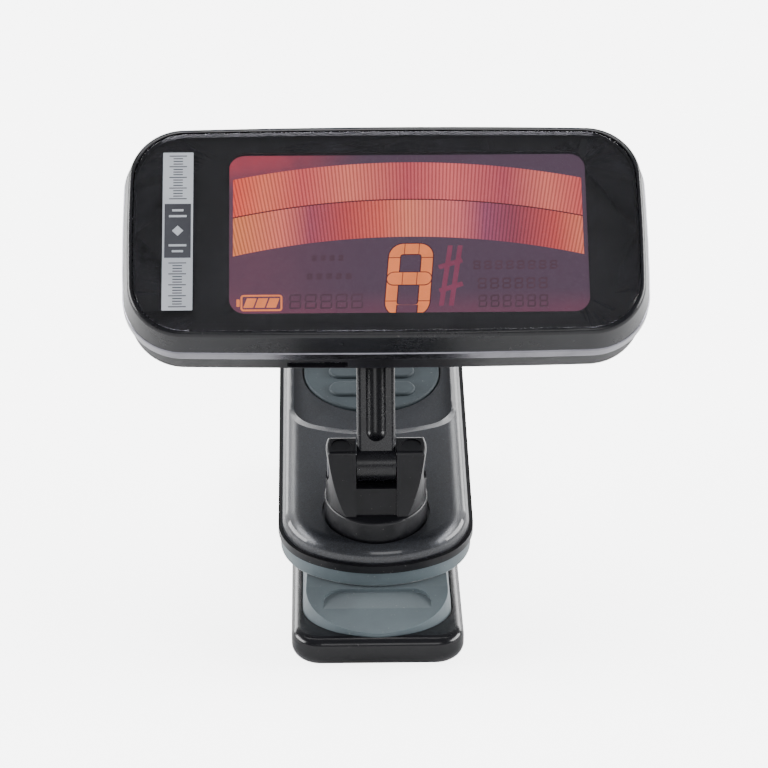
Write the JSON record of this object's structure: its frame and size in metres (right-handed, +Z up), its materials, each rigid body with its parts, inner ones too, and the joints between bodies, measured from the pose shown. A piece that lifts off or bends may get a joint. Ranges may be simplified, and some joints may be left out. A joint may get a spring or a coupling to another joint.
{
  "type": "clip-on instrument tuner",
  "caption": "Clip-on tuner: sprung two-arm clamp with rubber pads, a swivel with a hinged stem, and a wide tilting display head with rear keys and a coin-cell bay.",
  "frame": {"origin": "on the flat underside of the lower arm, straight below the clamp's pivot axis", "axes": "+Z up from the lower arm's underside, jaws point along -Y, display faces -Y and leans back, +X along the display's width"},
  "size_m": [0.0662, 0.0642, 0.0636],
  "materials": {
    "jaw_gloss": "moulded, semi-gloss black",
    "pad_rubber": "matt grey elastomer",
    "thumb_rubber": "matt blue-grey elastomer",
    "pin_steel": "turned",
    "spring_steel": "drawn wire",
    "rim_plastic": "satin black",
    "cover_graphite": "fine metallic-flake graphite",
    "swivel_plastic": "satin moulded",
    "stem_plastic": "satin moulded",
    "shell_front": "satin moulded",
    "shell_rear": "fine texture",
    "trim_metal": "satin, warm silver",
    "lens_clear": "polished clear acrylic",
    "mask_black": "black print",
    "lcd_glass": "display glass",
    "diffuser_white": "light guide",
    "zebra_rubber": "striped silicone",
    "board_green": "solder mask",
    "chip_black": "epoxy",
    "switch_metal": "stamped",
    "cell_nickel": "nickel plate",
    "tray_plastic": "moulded",
    "contact_plate": "plated spring strip",
    "door_plastic": "fine texture",
    "button_rubber": "matt",
    "piezo_brass": "disc",
    "port_steel": "stamped",
    "screw_steel": "black zinc"
  },
  "bodies": {
    "lower_jaw": {"lower_arm": "jaw_gloss", "lower_jaw_pad": "pad_rubber", "lower_grip_pad": "thumb_rubber", "pivot_pin": "pin_steel", "pivot_retaining_ring": "spring_steel", "torsion_spring": "spring_steel"},
    "upper_jaw": {"upper_arm_frame": "rim_plastic", "upper_arm_cover": "cover_graphite", "upper_jaw_pad": "pad_rubber", "thumb_pad": "thumb_rubber", "cover_screws": "screw_steel"},
    "swivel": {"swivel_base": "swivel_plastic", "swivel_washer": "pin_steel", "swivel_screw": "screw_steel", "stem_hinge_screw": "screw_steel", "stem_hinge_nut": "screw_steel"},
    "stem_link": {"stem": "stem_plastic"},
    "head": {"front_shell": "shell_front", "trim_ring": "trim_metal", "rear_shell": "shell_rear", "display_lens": "lens_clear", "lens_adhesive_frame": "mask_black", "lcd_panel": "lcd_glass", "backlight_diffuser": "diffuser_white", "zebra_connectors": "zebra_rubber", "circuit_board": "board_green", "controller_chip": "chip_black", "button_switches": "switch_metal", "coin_cell": "cell_nickel", "battery_tray": "tray_plastic", "negative_contact": "contact_plate", "positive_contact": "contact_plate", "piezo_sensor": "piezo_brass", "service_port": "port_steel", "shell_screws": "screw_steel", "head_hinge_screw": "screw_steel", "head_hinge_nut": "screw_steel"},
    "power_key": {"power_button": "button_rubber"},
    "menu_key": {"menu_button": "button_rubber"},
    "preset_key": {"preset_button": "button_rubber"},
    "door": {"battery_door": "door_plastic"}
  },
  "joints": [
    {"name": "jaw_open", "type": "hinge", "parent": "lower_jaw", "child": "upper_jaw", "pos_m": [0, 0, 0.0127], "axis": [-1, 0, 0], "range_deg": [0, 34], "stiffness_Nm_per_rad": 0.25, "springref_deg": -34.38, "deforming": ["torsion_spring"]},
    {"name": "swivel_turn", "type": "hinge", "parent": "upper_jaw", "child": "swivel", "pos_m": [0, -0.02032, 0.01449], "axis": [0, -0.2079, 0.9781], "continuous": true},
    {"name": "stem_tilt", "type": "hinge", "parent": "swivel", "child": "stem_link", "pos_m": [0, -0.02192, 0.02203], "axis": [1, 0, 0], "range_deg": [-35, 60]},
    {"name": "head_tilt", "type": "hinge", "parent": "stem_link", "child": "head", "pos_m": [0, -0.01525, 0.03939], "axis": [1, 0, 0], "range_deg": [-40, 26]},
    {"name": "power_press", "type": "slide", "parent": "head", "child": "power_key", "axis": [0, -0.7071, 0.7071], "range_m": [0, 0.0004], "stiffness_N_per_m": 2500, "springref_m": -0.0002},
    {"name": "menu_press", "type": "slide", "parent": "head", "child": "menu_key", "axis": [0, -0.7071, 0.7071], "range_m": [0, 0.0004], "stiffness_N_per_m": 2500, "springref_m": -0.0002},
    {"name": "preset_press", "type": "slide", "parent": "head", "child": "preset_key", "axis": [0, -0.7071, 0.7071], "range_m": [0, 0.0004], "stiffness_N_per_m": 2500, "springref_m": -0.0002},
    {"name": "battery_door_turn", "type": "hinge", "parent": "head", "child": "door", "pos_m": [0.0181, -0.01334, 0.04569], "axis": [0, -0.7071, 0.7071], "range_deg": [0, 35]}
  ]
}
